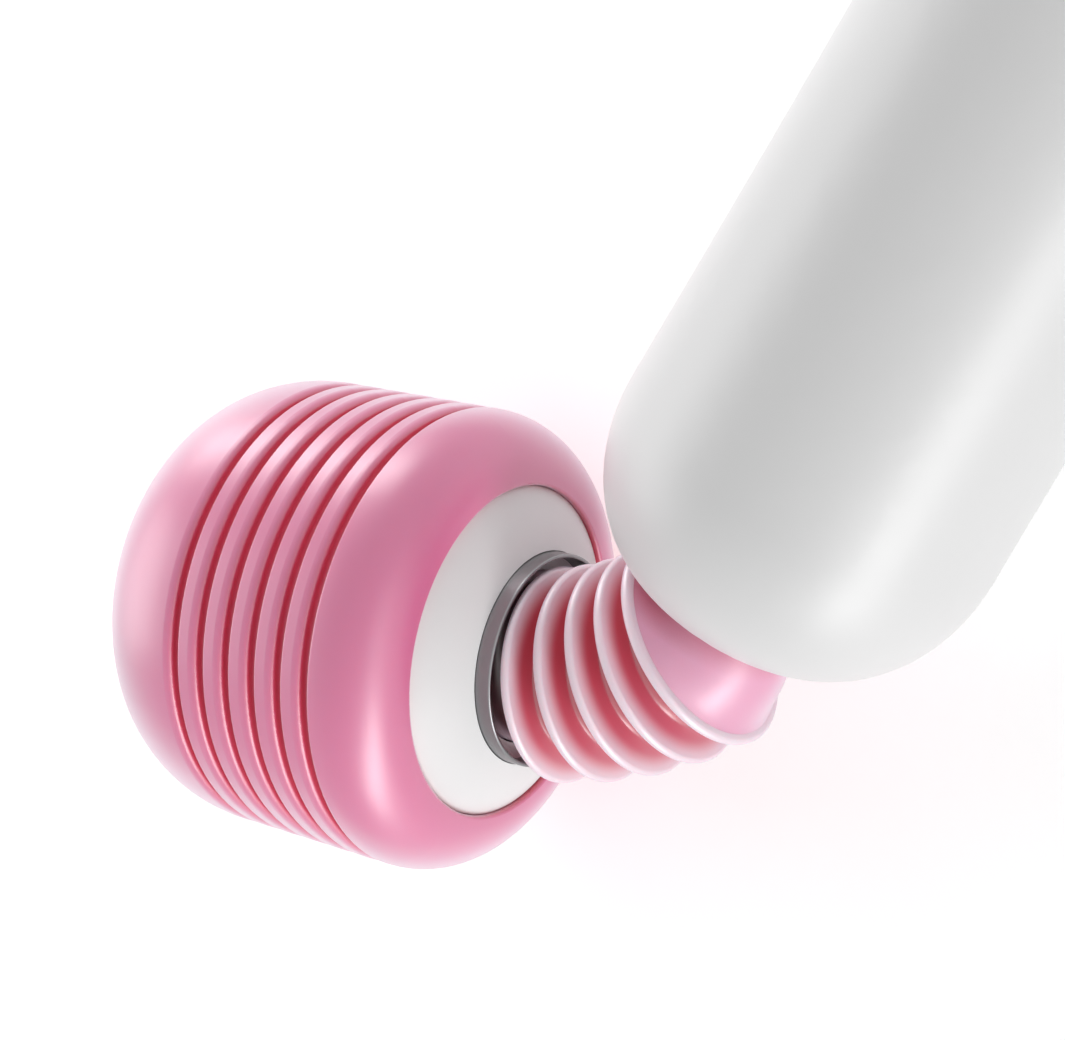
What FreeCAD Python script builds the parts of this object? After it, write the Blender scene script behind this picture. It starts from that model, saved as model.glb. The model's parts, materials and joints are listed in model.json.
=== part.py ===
"""Handheld wand massager lying on its side, neck bent.

The head, the five neck ribs and the handle are each modelled about their own Z axis, which
runs from the head's face towards the tail, with Y square to the plane that the neck bends in.
Each body is then set in place from the handle forwards, through the neck's pivots. Millimetres.
"""
import FreeCAD, Part
import math
import os

V = FreeCAD.Vector

# ---- head ----
HEAD_R = 30.0
HEAD_LENGTH = 48.9
FACE_ROUND_DEPTH = 16.5
FACE_ROUND_WIDTH = 12.65
RIM_ROUND_DEPTH = 8.5
LIP_ROUND = 0.4
GROOVE_COUNT = 6
GROOVE_WIDTH = 2.7
GROOVE_DEPTH = 1.6
GROOVE_ROLL_WIDTH = 1.1
GROOVE_WALL = 0.1
GROOVE_LIP_ROUND = 0.2
GROOVE_LEAD = 0.4
GROOVE_TRAIL = 0.2
SLEEVE_WALL = 3.0
SLEEVE_LIP = 2.6
CUP_WALL = 2.0
PART_FIT = 0.1

# ---- collar and ring round the neck ----
COLLAR_R = 21.2
COLLAR_EDGE_DROP = 0.8
COLLAR_RISE = 4.6
COLLAR_BULGE = 0.3
COLLAR_PLATE = 2.0
RING_R = 13.6
RING_WALL = 0.5
RING_HEIGHT = 2.15
RING_SEAT = 1.0
CLIP_COUNT = 3
CLIP_LENGTH = 6.0
CLIP_WIDTH = 8.0
CLIP_THICKNESS = 1.5

# ---- motor ----
MOTOR_R = 12.1
MOTOR_CAN_WALL = 0.8
MOTOR_FRONT_GAP = 9.5
MOTOR_BACK_GAP = 0.6
END_BELL_LENGTH = 3.0
BUSH_R = 3.0
BUSH_LENGTH = 2.4
SHAFT_R = 1.15
SHAFT_RUN = 0.04
ARMATURE_R = 8.6
ARMATURE_FRONT_GAP = 2.1
ARMATURE_BACK_GAP = 1.5
ARMATURE_SLOTS = 3
ARMATURE_SLOT_WIDTH = 2.0
ARMATURE_SLOT_DEPTH = 4.5
MAGNET_WALL = 1.9
MAGNET_ANGLE = 140.0
WEIGHT_R = 8.5
WEIGHT_LENGTH = 5.5
WEIGHT_BOSS_R = 3.0
WEIGHT_GAP = 0.425
COMMUTATOR_R = 3.0
COMMUTATOR_LENGTH = 4.0
PRESS_GAP = 0.01
MOUNT_RING_WALL = 1.5
MOUNT_RING_LENGTH = 4.0
HOLDER_WALL = 1.5
HOLDER_FINS = 4
FIN_THICKNESS = 2.0

# ---- neck ----
RIB_COUNT = 5
RIB_R = 13.5
RIB_PITCH = 5.2
RIB_EDGE = 1.3
RIB_BASE_SWELL = 0.6
NECK_TUBE_R = 9.5
CORE_R = 3.4
CORE_FIT = 0.15
LINK_GAP = 0.15
ROOT_R = 10.9
ROOT_FLANGE_R = 15.5
ROOT_FLANGE = 2.0
ROOT_FIT = 0.2
HEAD_BEND = 11.4
RIB_BEND = 6.2
HANDLE_BEND = 26.8
HEAD_PIVOT_BEYOND_RIB = 6.53
HANDLE_PIVOT_REACH = 3.35
RIB_ABOVE_RING = 1.99
BOOT_END_R = 8.6
BOOT_END_RUN = 0.3

# ---- handle ----
HANDLE_R = 23.6
HANDLE_LENGTH = 215.0
SHOULDER_DEPTH = 19.8
SHOULDER_WIDTH = 14.2
HANDLE_WALL = 2.2
FRONT_TAPER = 0.04
FRONT_TAPER_LENGTH = 28.0
TAIL_R = 20.2
TAIL_CAP_LENGTH = 25.0
TAIL_ROUND_DEPTH = 13.0
TAIL_ROUND_WIDTH = 11.0
TAIL_SPIGOT = 8.0
TAIL_SPIGOT_WALL = 3.2
TAIL_CAP_WALL = 2.4
SEAL_R = 0.9
SEAL_SQUEEZE = 0.1

# ---- inside the handle ----
ANCHOR_FRONT = 12.6
ANCHOR_LENGTH = 9.0
ANCHOR_PLATE = 3.0
ANCHOR_SCREW_CIRCLE_R = 12.0
ANCHOR_SCREWS = 3
ANCHOR_SCREW_ANGLE = 90.0
CORE_FLANGE_R = 7.5
CORE_FLANGE = 2.0
CHASSIS_WALL = 1.6
CHASSIS_END = 2.5
CELL_R = 9.2
CELL_LENGTH = 65.0
CELL_FROM_TAIL = 9.0
CELL_PAD = 1.5
TAB_THICKNESS = 0.4
BOARD_LENGTH = 62.0
BOARD_WIDTH = 22.0
BOARD_THICKNESS = 1.6
BOARD_LEAD = 8.0
BOARD_LEDGE = 3.0
BOARD_LEDGE_LENGTH = 6.0
BOARD_SCREW_INSET = 1.8
SWITCH_GAP = 0.05
SWITCH_SIDE = 6.0
SWITCH_HEIGHT = 3.2
PLUNGER_R = 1.7
PLUNGER_HEIGHT = 0.9
LIGHT_R = 1.2

# ---- controls ----
PANEL_FRONT = 92.0
PANEL_LENGTH = 50.0
PANEL_WIDTH = 15.0
PANEL_THICKNESS = 2.4
PANEL_FIT = 0.1
BUTTON_COUNT = 3
BUTTON_R = 4.8
BUTTON_PITCH = 13.5
BUTTON_LEAD = 13.0
BUTTON_PROUD = 0.9
BUTTON_FLANGE = 0.9
BUTTON_FLANGE_WIDTH = 1.0
BUTTON_RUN = 0.25
BUTTON_LIFT = 0.1
BUTTON_TRAVEL = 0.6
LIGHT_LEAD = 4.0

# ---- fasteners ----
SCREW_R = 1.0
SCREW_HEAD_R = 1.9
SCREW_HEAD = 1.3
SCREW_SLOT = 0.5
SCREW_FIT = 0.1

# ---- charging socket ----
JACK_BORE_R = 1.3
JACK_BORE_LENGTH = 9.5
JACK_BODY_R = 3.5
JACK_LENGTH = 12.0
JACK_FLANGE_R = 5.0
JACK_FLANGE = 1.5

# ---- how the wand can lie ----
SLOPE_ANGLE_RANGE = (-2.0, 6.0)
ROLL_ANGLE_RANGE = (-5.0, 40.0)

# ---- derived along the head ----
FIRST_GROOVE_LIP = FACE_ROUND_DEPTH + GROOVE_LEAD + GROOVE_WIDTH
LAST_GROOVE_LIP = HEAD_LENGTH - RIM_ROUND_DEPTH - GROOVE_TRAIL
GROOVE_PITCH = (LAST_GROOVE_LIP - FIRST_GROOVE_LIP) / (GROOVE_COUNT - 1)
LIP_R = COLLAR_R + PART_FIT
RIM_TOP_R = LIP_R + LIP_ROUND
CAVITY_R = HEAD_R - SLEEVE_WALL
LIP_UNDERSIDE = HEAD_LENGTH - SLEEVE_LIP
COLLAR_UNDERSIDE = LIP_UNDERSIDE - PART_FIT - COLLAR_PLATE
COLLAR_EDGE_Z = HEAD_LENGTH - COLLAR_EDGE_DROP
COLLAR_TOP = COLLAR_EDGE_Z + COLLAR_RISE
RING_BASE = COLLAR_TOP - RING_SEAT
RING_TOP = COLLAR_TOP + RING_HEIGHT
CUP_R = CAVITY_R - PART_FIT
CUP_FLOOR = SLEEVE_WALL + PART_FIT
CUP_INNER_FLOOR = CUP_FLOOR + CUP_WALL
MOTOR_FRONT = CUP_INNER_FLOOR + MOTOR_FRONT_GAP
HOLDER_TOP = COLLAR_UNDERSIDE - ROOT_FLANGE
BELL_BACK = HOLDER_TOP - MOTOR_BACK_GAP
CAN_BACK = BELL_BACK - END_BELL_LENGTH
WEIGHT_FRONT = MOTOR_FRONT - BUSH_LENGTH / 2 - WEIGHT_GAP - WEIGHT_LENGTH
SHAFT_NOSE = WEIGHT_FRONT - SHAFT_R / 2
COMMUTATOR_FRONT = BELL_BACK - BUSH_LENGTH - MOTOR_CAN_WALL - COMMUTATOR_LENGTH
ARMATURE_FRONT = MOTOR_FRONT + BUSH_LENGTH / 2 + ARMATURE_FRONT_GAP
ARMATURE_LENGTH = COMMUTATOR_FRONT - ARMATURE_BACK_GAP - ARMATURE_FRONT
HOLDER_R = MOTOR_R + MOUNT_RING_WALL + HOLDER_WALL
RIB_1_STRAIGHT = RING_TOP + RIB_ABOVE_RING
HEAD_PIVOT = RIB_1_STRAIGHT + HEAD_PIVOT_BEYOND_RIB

# ---- derived along the neck ----
HALF_TUBE = RIB_PITCH / 2 - NECK_TUBE_R * math.tan(math.radians(RIB_BEND / 2)) - LINK_GAP
HALF_CORE = RIB_PITCH / 2 - CORE_R * math.tan(math.radians(RIB_BEND / 2)) - LINK_GAP
BORE_R = CORE_R + CORE_FIT
MOUTH_R = math.sqrt((BOOT_END_R + BOOT_END_RUN) ** 2 - HANDLE_PIVOT_REACH ** 2)
HANDLE_CORE_TIP = BOOT_END_R + BOOT_END_RUN - HANDLE_PIVOT_REACH
LAST_LINK_END = HANDLE_PIVOT_REACH

# ---- derived along the handle ----
SHELL_END = HANDLE_LENGTH - TAIL_CAP_LENGTH
TAIL_INNER_R = TAIL_R - HANDLE_WALL
ANCHOR_BACK = ANCHOR_FRONT + ANCHOR_LENGTH
CHASSIS_R = TAIL_INNER_R - PART_FIT
CHASSIS_FRONT = ANCHOR_BACK + ANCHOR_PLATE
CHASSIS_BACK = SHELL_END - TAIL_SPIGOT - PART_FIT
CELL_BACK = CHASSIS_BACK - CHASSIS_END - CELL_FROM_TAIL
CELL_FRONT = CELL_BACK - CELL_LENGTH
CELL_Y = CELL_R + CELL_PAD + CHASSIS_WALL - CHASSIS_R
JACK_FRONT = HANDLE_LENGTH - JACK_LENGTH
RIB_1_BENT = HEAD_PIVOT - HEAD_PIVOT_BEYOND_RIB * math.cos(math.radians(HEAD_BEND))


def dip(radius, half_length):
    """Height in the head's frame just under the bent first rib's tube or core."""
    bend = math.radians(HEAD_BEND)
    return RIB_1_BENT - half_length * math.cos(bend) - radius * math.sin(bend) - 2 * LINK_GAP


ROOT_TOP = dip(NECK_TUBE_R, HALF_TUBE)
HEAD_CORE_TOP = dip(CORE_R, HALF_CORE)


# ---------------------------------------------------------------- profiles and solids
def solved(difference, low, high):
    """Value between low and high at which the difference changes sign."""
    for _ in range(60):
        middle = (low + high) / 2
        if difference(low) * difference(middle) > 0:
            low = middle
        else:
            high = middle
    return (low + high) / 2


def point(r, z):
    return V(r, 0, z)


def line(a, b):
    return Part.LineSegment(point(*a), point(*b)).toShape()


def arc(a, middle, b):
    return Part.Arc(point(*a), point(*middle), point(*b)).toShape()


def curve(*poles):
    """Bezier edge through (r, z) poles."""
    bezier = Part.BezierCurve()
    bezier.setPoles([point(*pole) for pole in poles])
    return bezier.toShape()


def rounded(a, corner, b):
    """Quarter of an ellipse from a to b that turns the given corner."""
    share = 4 * (math.sqrt(2) - 1) / 3
    lead = [a[i] + share * (corner[i] - a[i]) for i in range(2)]
    trail = [b[i] + share * (corner[i] - b[i]) for i in range(2)]
    return curve(a, lead, trail, b)


def chain(*steps):
    """Edges of a profile: each step is a point to run straight to, or an edge already made."""
    edges = []
    here = steps[0]
    for step in steps[1:]:
        if isinstance(step, tuple):
            edges.append(line(here, step))
            here = step
            continue
        start = step.valueAt(step.FirstParameter)
        if math.hypot(start.x - here[0], start.z - here[1]) > 1e-6:
            edges.append(line(here, (start.x, start.z)))
        edges.append(step)
        end = step.valueAt(step.LastParameter)
        here = (end.x, end.z)
    if math.hypot(here[0] - steps[0][0], here[1] - steps[0][1]) > 1e-6:
        edges.append(line(here, steps[0]))
    return edges


def turned(*steps):
    """Solid of revolution about Z from a closed profile of (r, z) steps."""
    face = Part.Face(Part.Wire(chain(*steps)))
    return face.revolve(V(0, 0, 0), V(0, 0, 1), 360)


def tube(outer, inner, low, high):
    return turned((inner, low), (outer, low), (outer, high), (inner, high))


def rod(radius, low, high):
    return Part.makeCylinder(radius, high - low, V(0, 0, low))


def upright(radius, low, high, x=0.0, z=0.0):
    """Cylinder along Y, from one height to another, at a place along the handle."""
    return Part.makeCylinder(radius, high - low, V(x, low, z), V(0, 1, 0))


def block(x, y, z):
    """Box from three (low, high) pairs."""
    return Part.makeBox(x[1] - x[0], y[1] - y[0], z[1] - z[0], V(x[0], y[0], z[0]))


def spun(shape, count, start=0.0):
    """Copies of a shape evenly round Z."""
    copies = []
    for i in range(count):
        copy = shape.copy()
        copy.rotate(V(0, 0, 0), V(0, 0, 1), start + 360.0 * i / count)
        copies.append(copy)
    return copies


def joined(first, *others):
    return first.fuse(list(others)).removeSplitter()


def screw(length, axis):
    """Pan-head screw from the underside of its head at the origin, pointing along axis."""
    body = Part.makeCylinder(SCREW_R, length, V(0, 0, 0), axis)
    head = Part.makeCylinder(SCREW_HEAD_R, SCREW_HEAD, V(0, 0, 0), axis * -1)
    solid = joined(body, head)
    half = SCREW_SLOT / 2
    deep = SCREW_HEAD / 2
    corner = V(-SCREW_HEAD_R, -half, SCREW_HEAD - deep)
    slot = Part.makeBox(2 * SCREW_HEAD_R, SCREW_SLOT, deep, corner)
    turn = FreeCAD.Rotation(V(0, 0, 1), axis * -1)
    slot.Placement = FreeCAD.Placement(V(0, 0, 0), turn)
    return solid.cut(slot)


def moved(shape, x, y, z):
    copy = shape.copy()
    copy.translate(V(x, y, z))
    return copy


# ---------------------------------------------------------------- head
def groove(far):
    """Groove profile that ends at far: soft roll on the face's side, round floor, crisp far lip."""
    near = far - GROOVE_WIDTH
    wall_near = near + GROOVE_ROLL_WIDTH
    wall_far = far - GROOVE_LIP_ROUND
    floor_round = (wall_far - wall_near) / 2
    floor = (HEAD_R - GROOVE_DEPTH, wall_near + floor_round)
    foot_r = floor[0] + floor_round
    roll_end = foot_r + GROOVE_WALL
    return [
        rounded((HEAD_R, near), (HEAD_R, wall_near), (roll_end, wall_near)),
        arc((foot_r, wall_near), floor, (foot_r, wall_far)),
        rounded((HEAD_R - GROOVE_LIP_ROUND, wall_far), (HEAD_R, wall_far), (HEAD_R, far)),
    ]


def head_outline():
    """Outer profile of the sleeve, from the face's centre to the edge of the lip."""
    face_r = HEAD_R - FACE_ROUND_WIDTH
    steps = [(0.0, 0.0), (face_r, 0.0)]
    steps.append(rounded((face_r, 0.0), (HEAD_R, 0.0), (HEAD_R, FACE_ROUND_DEPTH)))
    for i in range(GROOVE_COUNT):
        steps += groove(FIRST_GROOVE_LIP + i * GROOVE_PITCH)
    shoulder = HEAD_LENGTH - RIM_ROUND_DEPTH
    steps.append(rounded((HEAD_R, shoulder), (HEAD_R, HEAD_LENGTH), (RIM_TOP_R, HEAD_LENGTH)))
    edge = HEAD_LENGTH - LIP_ROUND
    steps.append(rounded((RIM_TOP_R, HEAD_LENGTH), (LIP_R, HEAD_LENGTH), (LIP_R, edge)))
    return steps


def cup_form(radius, floor):
    """Solid of the head's inner shape, with its rounded face, up to the collar."""
    face_r = HEAD_R - FACE_ROUND_WIDTH
    turn = rounded((face_r, floor), (radius, floor), (radius, FACE_ROUND_DEPTH))
    return turned((0.0, floor), (face_r, floor), turn, (radius, LIP_UNDERSIDE), (0.0, LIP_UNDERSIDE))


def head_sleeve():
    solid = turned(*head_outline(), (LIP_R, LIP_UNDERSIDE), (0.0, LIP_UNDERSIDE))
    return solid.cut(cup_form(CAVITY_R, SLEEVE_WALL))


def head_cup():
    shell = cup_form(CUP_R, CUP_FLOOR).cut(cup_form(CUP_R - CUP_WALL, CUP_INNER_FLOOR))
    return shell.cut(rod(HEAD_R, COLLAR_UNDERSIDE, HEAD_LENGTH))


def head_collar():
    seat_r = RING_R + PART_FIT
    flange_top = LIP_UNDERSIDE - PART_FIT
    run = COLLAR_R - seat_r
    slope = math.hypot(run, COLLAR_RISE)
    middle_r = (COLLAR_R + seat_r) / 2 + COLLAR_BULGE * COLLAR_RISE / slope
    middle_z = (COLLAR_EDGE_Z + COLLAR_TOP) / 2 + COLLAR_BULGE * run / slope
    crown = arc((COLLAR_R, COLLAR_EDGE_Z), (middle_r, middle_z), (seat_r, COLLAR_TOP))
    hole_r = ROOT_R + ROOT_FIT
    plate = turned(
        (hole_r, COLLAR_UNDERSIDE),
        (CUP_R, COLLAR_UNDERSIDE),
        (CUP_R, flange_top),
        (COLLAR_R, flange_top),
        (COLLAR_R, COLLAR_EDGE_Z),
        crown,
        (seat_r, RING_BASE),
        (hole_r, RING_BASE),
    )
    outer = CUP_R - CUP_WALL - CLIP_THICKNESS / 2
    half = CLIP_WIDTH / 2
    tall = (COLLAR_UNDERSIDE - CLIP_LENGTH, COLLAR_UNDERSIDE)
    leg = block((outer - CLIP_THICKNESS, outer), (-half, half), tall)
    return joined(plate, *spun(leg, CLIP_COUNT, 180.0 / HOLDER_FINS))


def neck_ring():
    inner = RING_R - RING_WALL
    half = (RING_R + inner) / 2
    crown = arc((RING_R, RING_TOP - RING_WALL / 2), (half, RING_TOP), (inner, RING_TOP - RING_WALL / 2))
    return turned((inner, RING_BASE), (RING_R, RING_BASE), crown)


def neck_root():
    flange = tube(ROOT_FLANGE_R, CORE_FLANGE_R + CORE_FIT, HOLDER_TOP, COLLAR_UNDERSIDE)
    stem = tube(ROOT_R, BORE_R, COLLAR_UNDERSIDE, ROOT_TOP)
    return joined(flange, stem)


def head_core():
    flange = rod(CORE_FLANGE_R, HOLDER_TOP, COLLAR_UNDERSIDE)
    return joined(flange, rod(CORE_R, HOLDER_TOP, HEAD_CORE_TOP))


def motor_can():
    can = tube(MOTOR_R, MOTOR_R - MOTOR_CAN_WALL, MOTOR_FRONT, CAN_BACK)
    front = tube(MOTOR_R, BUSH_R + PRESS_GAP, MOTOR_FRONT, MOTOR_FRONT + MOTOR_CAN_WALL)
    half = BUSH_LENGTH / 2
    boss = tube(BUSH_R + MOTOR_CAN_WALL, BUSH_R + PRESS_GAP, MOTOR_FRONT - half, MOTOR_FRONT + half)
    return joined(can, front, boss)


def motor_end_bell():
    spigot_r = MOTOR_R - MOTOR_CAN_WALL - PRESS_GAP
    disc = tube(MOTOR_R, BUSH_R + PRESS_GAP, CAN_BACK, BELL_BACK)
    spigot = tube(spigot_r, spigot_r - MOTOR_CAN_WALL, CAN_BACK - MOTOR_CAN_WALL, CAN_BACK)
    return joined(disc, spigot)


def front_bush():
    return tube(BUSH_R, SHAFT_R + SHAFT_RUN, MOTOR_FRONT - BUSH_LENGTH / 2, MOTOR_FRONT + BUSH_LENGTH / 2)


def rear_bush():
    return tube(BUSH_R, SHAFT_R + SHAFT_RUN, BELL_BACK - BUSH_LENGTH, BELL_BACK)


def motor_magnets():
    outer = MOTOR_R - MOTOR_CAN_WALL - PRESS_GAP
    inner = outer - MAGNET_WALL
    low = MOTOR_FRONT + 2 * MOTOR_CAN_WALL
    high = CAN_BACK - 2 * MOTOR_CAN_WALL
    face = Part.Face(Part.Wire(chain((inner, low), (outer, low), (outer, high), (inner, high))))
    arc_magnet = face.revolve(V(0, 0, 0), V(0, 0, 1), MAGNET_ANGLE)
    return Part.makeCompound(spun(arc_magnet, 2, -MAGNET_ANGLE / 2))


def motor_mounts():
    inner = MOTOR_R + PRESS_GAP
    outer = MOTOR_R + MOUNT_RING_WALL - PRESS_GAP
    front = tube(outer, inner, MOTOR_FRONT, MOTOR_FRONT + MOUNT_RING_LENGTH)
    back = tube(outer, inner, CAN_BACK - MOUNT_RING_LENGTH, CAN_BACK)
    return Part.makeCompound([front, back])


def motor_holder():
    barrel = tube(HOLDER_R, HOLDER_R - HOLDER_WALL, CUP_INNER_FLOOR, HOLDER_TOP)
    reach = CUP_R - CUP_WALL - PART_FIT - PART_FIT
    half = FIN_THICKNESS / 2
    fin = block((HOLDER_R - HOLDER_WALL / 2, reach), (-half, half), (FACE_ROUND_DEPTH, HOLDER_TOP))
    return joined(barrel, *spun(fin, HOLDER_FINS))


def motor_shaft():
    return rod(SHAFT_R, SHAFT_NOSE, BELL_BACK)


def motor_armature():
    high = ARMATURE_FRONT + ARMATURE_LENGTH
    core = tube(ARMATURE_R, SHAFT_R + PRESS_GAP, ARMATURE_FRONT, high)
    half = ARMATURE_SLOT_WIDTH / 2
    across = (ARMATURE_R - ARMATURE_SLOT_DEPTH, ARMATURE_R + half)
    slot = block(across, (-half, half), (ARMATURE_FRONT, high))
    return core.cut(spun(slot, ARMATURE_SLOTS))


def commutator():
    high = COMMUTATOR_FRONT + COMMUTATOR_LENGTH
    return tube(COMMUTATOR_R, SHAFT_R + PRESS_GAP, COMMUTATOR_FRONT, high)


def eccentric_weight():
    low = WEIGHT_FRONT
    high = low + WEIGHT_LENGTH
    half = rod(WEIGHT_R, low, high).cut(block((-HEAD_R, HEAD_R), (-HEAD_R, 0), (low, high)))
    boss = rod(WEIGHT_BOSS_R, low, high)
    return joined(half, boss).cut(rod(SHAFT_R + PRESS_GAP, low, high))


# ---------------------------------------------------------------- neck
def neck_rib(last=False):
    """Thin disc on a short tube, the same above and below; the last one is flat behind."""
    tip = RIB_EDGE / 2
    root = tip + RIB_BASE_SWELL
    high = root if last else HALF_TUBE
    below = rounded((NECK_TUBE_R, -HALF_TUBE), (NECK_TUBE_R, -root), (RIB_R - tip, -tip))
    edge = arc((RIB_R - tip, -tip), (RIB_R, 0.0), (RIB_R - tip, tip))
    above = rounded((RIB_R - tip, tip), (NECK_TUBE_R, root), (NECK_TUBE_R, high))
    if last:
        above = line((RIB_R - tip, tip), (NECK_TUBE_R, root))
    return turned((BORE_R, -HALF_TUBE), (NECK_TUBE_R, -HALF_TUBE), below, edge, above, (BORE_R, high))


def core_link(high):
    return rod(CORE_R, -HALF_CORE, high)


def boot_end():
    """Ball-shaped end of the boot, centred on the pivot between the last rib and the handle."""
    start = RIB_EDGE / 2 + RIB_BASE_SWELL
    ball = Part.makeSphere(BOOT_END_R, V(0, 0, HANDLE_PIVOT_REACH))
    ball = ball.cut(rod(2 * BOOT_END_R, -BOOT_END_R, start))
    return ball.cut(rod(BORE_R, start, LAST_LINK_END + CORE_FIT))


# ---------------------------------------------------------------- handle
def handle_outline(inset=0.0):
    """Handle profile from the middle of its front to the shell's end, drawn in by inset."""
    front_r = HANDLE_R - SHOULDER_WIDTH
    side_r = HANDLE_R - inset
    corner = (side_r + FRONT_TAPER * SHOULDER_DEPTH, inset)
    shoulder = rounded((front_r, inset), corner, (side_r, SHOULDER_DEPTH))
    lead = (side_r - FRONT_TAPER * FRONT_TAPER_LENGTH, SHOULDER_DEPTH + FRONT_TAPER_LENGTH)
    trail = (TAIL_R - inset, (SHOULDER_DEPTH + SHELL_END) / 2)
    side = curve((side_r, SHOULDER_DEPTH), lead, trail, (TAIL_R - inset, SHELL_END))
    return [(0.0, inset), (front_r, inset), shoulder, side]


def handle_form(inset=0.0):
    return turned(*handle_outline(inset), (0.0, SHELL_END))


def handle_r(z):
    """Outer radius of the handle at a place along it."""
    side = handle_outline()[-1]
    share = solved(lambda t: side.valueAt(t).z - z, side.FirstParameter, side.LastParameter)
    return side.valueAt(share).x


def stadium(width, length, low, high, front):
    """Rounded slot shape along the handle, standing up from low to high."""
    half = width / 2
    middle = block((-half, half), (low, high), (front + half, front + length - half))
    ends = [upright(half, low, high, 0.0, z) for z in (front + half, front + length - half)]
    return joined(middle, *ends)


PANEL_TOP = handle_r(PANEL_FRONT + PANEL_LENGTH / 2)
PANEL_UNDERSIDE = PANEL_TOP - PANEL_THICKNESS
FLANGE_TOP = PANEL_UNDERSIDE - BUTTON_LIFT
BUTTON_BOTTOM = FLANGE_TOP - BUTTON_FLANGE
PLUNGER_TOP = BUTTON_BOTTOM - BUTTON_TRAVEL - SWITCH_GAP
BOARD_TOP = PLUNGER_TOP - PLUNGER_HEIGHT - SWITCH_HEIGHT
BOARD_UNDERSIDE = BOARD_TOP - BOARD_THICKNESS
BOARD_FRONT = PANEL_FRONT - BOARD_LEAD
LIGHT_FRONT = PANEL_FRONT + LIGHT_LEAD
FIRST_BUTTON = PANEL_FRONT + BUTTON_LEAD
BUTTON_PLACES = [FIRST_BUTTON + i * BUTTON_PITCH for i in range(BUTTON_COUNT)]


def handle_shell():
    window = stadium(PANEL_WIDTH, PANEL_LENGTH, 0, 2 * HANDLE_R, PANEL_FRONT)
    mouth = rod(MOUTH_R, 0, SHOULDER_DEPTH)
    return handle_form().cut([handle_form(HANDLE_WALL), mouth, window])


def control_panel():
    width = PANEL_WIDTH - 2 * PANEL_FIT
    length = PANEL_LENGTH - 2 * PANEL_FIT
    slab = stadium(width, length, PANEL_UNDERSIDE, 2 * HANDLE_R, PANEL_FRONT + PANEL_FIT)
    plate = handle_form().common(slab)
    hole_r = BUTTON_R + BUTTON_RUN
    holes = [upright(hole_r, 0, 2 * HANDLE_R, 0.0, z) for z in BUTTON_PLACES]
    holes.append(upright(LIGHT_R + PANEL_FIT, 0, 2 * HANDLE_R, 0.0, LIGHT_FRONT))
    return plate.cut(holes)


def button():
    """Domed cap on a flange, standing along Z from the flange's underside."""
    top = PANEL_TOP + BUTTON_PROUD - BUTTON_BOTTOM
    flange_r = BUTTON_R + BUTTON_FLANGE_WIDTH
    dome = rounded((BUTTON_R, top - BUTTON_PROUD), (BUTTON_R, top), (0.0, top))
    return turned((0.0, 0.0), (flange_r, 0.0), (flange_r, BUTTON_FLANGE), (BUTTON_R, BUTTON_FLANGE), dome)


def button_at(z):
    cap = button()
    cap.rotate(V(0, 0, 0), V(1, 0, 0), -90)
    cap.translate(V(0, BUTTON_BOTTOM, z))
    return cap


def light_pipe():
    low = BOARD_TOP + SWITCH_HEIGHT + SWITCH_GAP
    return upright(LIGHT_R, low, PANEL_TOP, 0.0, LIGHT_FRONT)


def neck_anchor():
    plug = handle_form(HANDLE_WALL + PART_FIT)
    slab = block((-HANDLE_R, HANDLE_R), (-HANDLE_R, HANDLE_R), (ANCHOR_FRONT, ANCHOR_BACK))
    anchor = plug.common(slab).cut(rod(BORE_R, 0, ANCHOR_BACK))
    anchor = anchor.cut(rod(CORE_FLANGE_R + CORE_FIT, ANCHOR_BACK - CORE_FLANGE, ANCHOR_BACK))
    hole = moved(rod(SCREW_R + SCREW_FIT, ANCHOR_FRONT, ANCHOR_BACK), ANCHOR_SCREW_CIRCLE_R, 0, 0)
    return anchor.cut(spun(hole, ANCHOR_SCREWS, ANCHOR_SCREW_ANGLE))


def anchor_plate():
    plate = rod(CHASSIS_R, ANCHOR_BACK, CHASSIS_FRONT)
    hole = moved(rod(SCREW_R + SCREW_FIT, ANCHOR_BACK, CHASSIS_FRONT), ANCHOR_SCREW_CIRCLE_R, 0, 0)
    sink_low = CHASSIS_FRONT - SCREW_HEAD - SCREW_FIT
    sink = moved(rod(SCREW_HEAD_R + SCREW_FIT, sink_low, CHASSIS_FRONT), ANCHOR_SCREW_CIRCLE_R, 0, 0)
    holes = spun(hole, ANCHOR_SCREWS, ANCHOR_SCREW_ANGLE)
    return plate.cut(holes + spun(sink, ANCHOR_SCREWS, ANCHOR_SCREW_ANGLE))


def anchor_screws():
    seat = CHASSIS_FRONT - SCREW_HEAD - SCREW_FIT
    one = moved(screw(ANCHOR_LENGTH, V(0, 0, -1)), ANCHOR_SCREW_CIRCLE_R, 0, seat)
    return Part.makeCompound(spun(one, ANCHOR_SCREWS, ANCHOR_SCREW_ANGLE))


def handle_core():
    flange = rod(CORE_FLANGE_R, ANCHOR_BACK - CORE_FLANGE, ANCHOR_BACK)
    return joined(rod(CORE_R, HANDLE_CORE_TIP, ANCHOR_BACK), flange)


def board_screw_places():
    x = BOARD_WIDTH / 2 - BOARD_SCREW_INSET
    ends = (BOARD_FRONT + BOARD_LEDGE, BOARD_FRONT + BOARD_LENGTH - BOARD_LEDGE)
    return [(side * x, z) for side in (-1, 1) for z in ends]


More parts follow.
